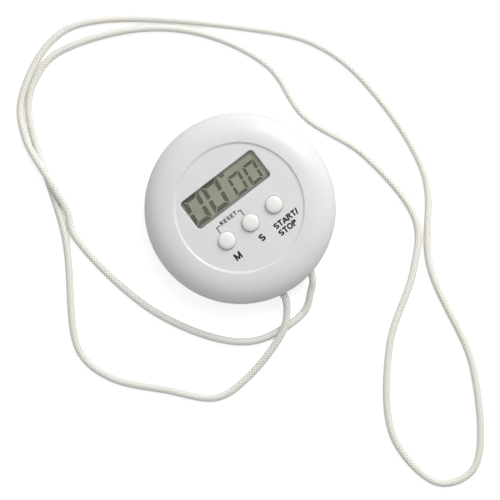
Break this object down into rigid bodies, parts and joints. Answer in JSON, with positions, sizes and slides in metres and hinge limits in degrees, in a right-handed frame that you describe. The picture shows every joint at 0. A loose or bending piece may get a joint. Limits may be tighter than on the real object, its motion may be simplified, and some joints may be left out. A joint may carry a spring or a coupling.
{
  "type": "kitchen timer",
  "caption": "Round digital kitchen timer on a neck cord: domed two-part case, recessed face with display window, push buttons, sliding battery door.",
  "frame": {"origin": "centre of the flat back of the case, which rests on the surface", "axes": "+Z out of the face, the thin direction of the case; +Y towards 12 o'clock of the face; the cord leaves at -Y"},
  "size_m": [0.137, 0.2065, 0.0164],
  "materials": {
    "case_white": "smooth moulded gloss",
    "button_white": "smooth gloss, slightly warm",
    "clear_window": "polished clear acrylic",
    "lcd_film": "grey-green polarising film",
    "lcd_glass": "polished",
    "reflector": "satin film",
    "frame_plastic": "moulded",
    "silicone": "matte",
    "carbon": "matte",
    "board": "solder mask",
    "epoxy": "cast",
    "bright_steel": "nickel plated",
    "screw_steel": "zinc plated",
    "brass": "rolled sheet",
    "ceramic": "silvered ceramic",
    "component_tan": "fired",
    "wire_red": "extruded sleeve",
    "wire_black": "extruded sleeve",
    "cord": "braided polyester"
  },
  "bodies": {
    "case": {"front_shell": "case_white", "back_shell": "case_white", "display_window": "clear_window", "lcd_front_polariser": "lcd_film", "lcd_front_glass": "lcd_glass", "lcd_rear_glass": "lcd_glass", "lcd_reflector": "reflector", "lcd_frame": "frame_plastic", "elastomer_strip_upper": "silicone", "elastomer_strip_lower": "silicone", "return_dome_minutes": "silicone", "return_dome_seconds": "silicone", "return_dome_start_stop": "silicone", "circuit_board": "board", "chip_blob": "epoxy", "clock_crystal": "bright_steel", "capacitor": "component_tan", "resistor": "epoxy", "buzzer_disc": "brass", "buzzer_ceramic": "ceramic", "buzzer_wire_red": "wire_red", "buzzer_wire_black": "wire_black", "button_cell": "bright_steel", "negative_contact": "bright_steel", "positive_contact": "bright_steel", "case_screw_1": "screw_steel", "case_screw_2": "screw_steel", "case_screw_3": "screw_steel", "board_screw_1": "screw_steel", "board_screw_2": "screw_steel", "board_screw_3": "screw_steel", "cord_knot_left": "cord", "cord_knot_right": "cord", "cord_end_left": "cord", "cord_end_right": "cord", "neck_cord": "cord"},
    "minutes_key": {"button_minutes": "button_white", "contact_pill_minutes": "carbon"},
    "seconds_key": {"button_seconds": "button_white", "contact_pill_seconds": "carbon"},
    "start_stop_key": {"button_start_stop": "button_white", "contact_pill_start_stop": "carbon"},
    "door": {"battery_door": "case_white"}
  },
  "joints": [
    {"name": "press_minutes", "type": "slide", "parent": "case", "child": "minutes_key", "axis": [0, 0, -1], "range_m": [0, 0.0008], "stiffness_N_per_m": 1200, "springref_m": -0.0002, "deforming": ["return_dome_minutes"]},
    {"name": "press_seconds", "type": "slide", "parent": "case", "child": "seconds_key", "axis": [0, 0, -1], "range_m": [0, 0.0008], "stiffness_N_per_m": 1200, "springref_m": -0.0002, "deforming": ["return_dome_seconds"]},
    {"name": "press_start_stop", "type": "slide", "parent": "case", "child": "start_stop_key", "axis": [0, 0, -1], "range_m": [0, 0.0008], "stiffness_N_per_m": 1200, "springref_m": -0.0002, "deforming": ["return_dome_start_stop"]},
    {"name": "door_slide", "type": "slide", "parent": "case", "child": "door", "axis": [0, 1, 0], "range_m": [0, 0.0275]}
  ]
}
